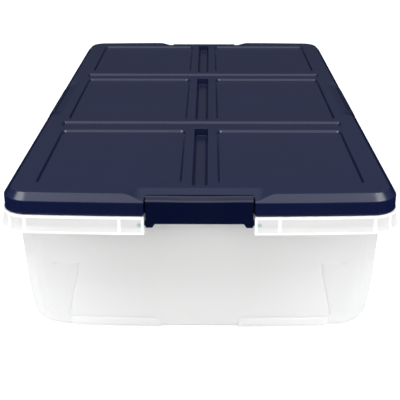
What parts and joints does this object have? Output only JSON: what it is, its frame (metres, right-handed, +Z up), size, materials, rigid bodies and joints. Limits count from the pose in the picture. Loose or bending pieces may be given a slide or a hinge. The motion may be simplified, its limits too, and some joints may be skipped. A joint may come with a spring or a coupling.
{
  "type": "under bed storage box",
  "caption": "Low, long storage box with a clear drafted tub, a lift-off lid with recessed panels, and a snap latch on each side.",
  "frame": {"origin": "under the middle of the box, on the surface that it stands on", "axes": "+X across the box towards its right long side, +Y along its length towards the rear end, +Z up"},
  "size_m": [0.4696, 0.8294, 0.1865],
  "materials": {
    "clear_plastic": "translucent, slightly milky polypropylene, satin",
    "navy_lid": "satin with a fine moulded grain",
    "navy_latch": "semi-gloss, smoother than the lid"
  },
  "bodies": {
    "tub": {"tub": "clear_plastic"},
    "lid": {"lid": "navy_lid"},
    "latch_front": {"latch_front": "navy_latch"},
    "latch_rear": {"latch_rear": "navy_latch"},
    "latch_left": {"latch_left": "navy_latch"},
    "latch_right": {"latch_right": "navy_latch"}
  },
  "joints": [
    {"name": "lid_lift", "type": "slide", "parent": "tub", "child": "lid", "axis": [0, 0, 1], "range_m": [0, 0.25]},
    {"name": "latch_front_hinge", "type": "hinge", "parent": "tub", "child": "latch_front", "pos_m": [0, -0.405, 0.152], "axis": [1, 0, 0], "range_deg": [0, 160]},
    {"name": "latch_rear_hinge", "type": "hinge", "parent": "tub", "child": "latch_rear", "pos_m": [0, 0.405, 0.152], "axis": [-1, 0, 0], "range_deg": [0, 160]},
    {"name": "latch_left_hinge", "type": "hinge", "parent": "tub", "child": "latch_left", "pos_m": [-0.2245, 0, 0.152], "axis": [0, -1, 0], "range_deg": [0, 160]},
    {"name": "latch_right_hinge", "type": "hinge", "parent": "tub", "child": "latch_right", "pos_m": [0.2245, 0, 0.152], "axis": [0, 1, 0], "range_deg": [0, 160]}
  ]
}
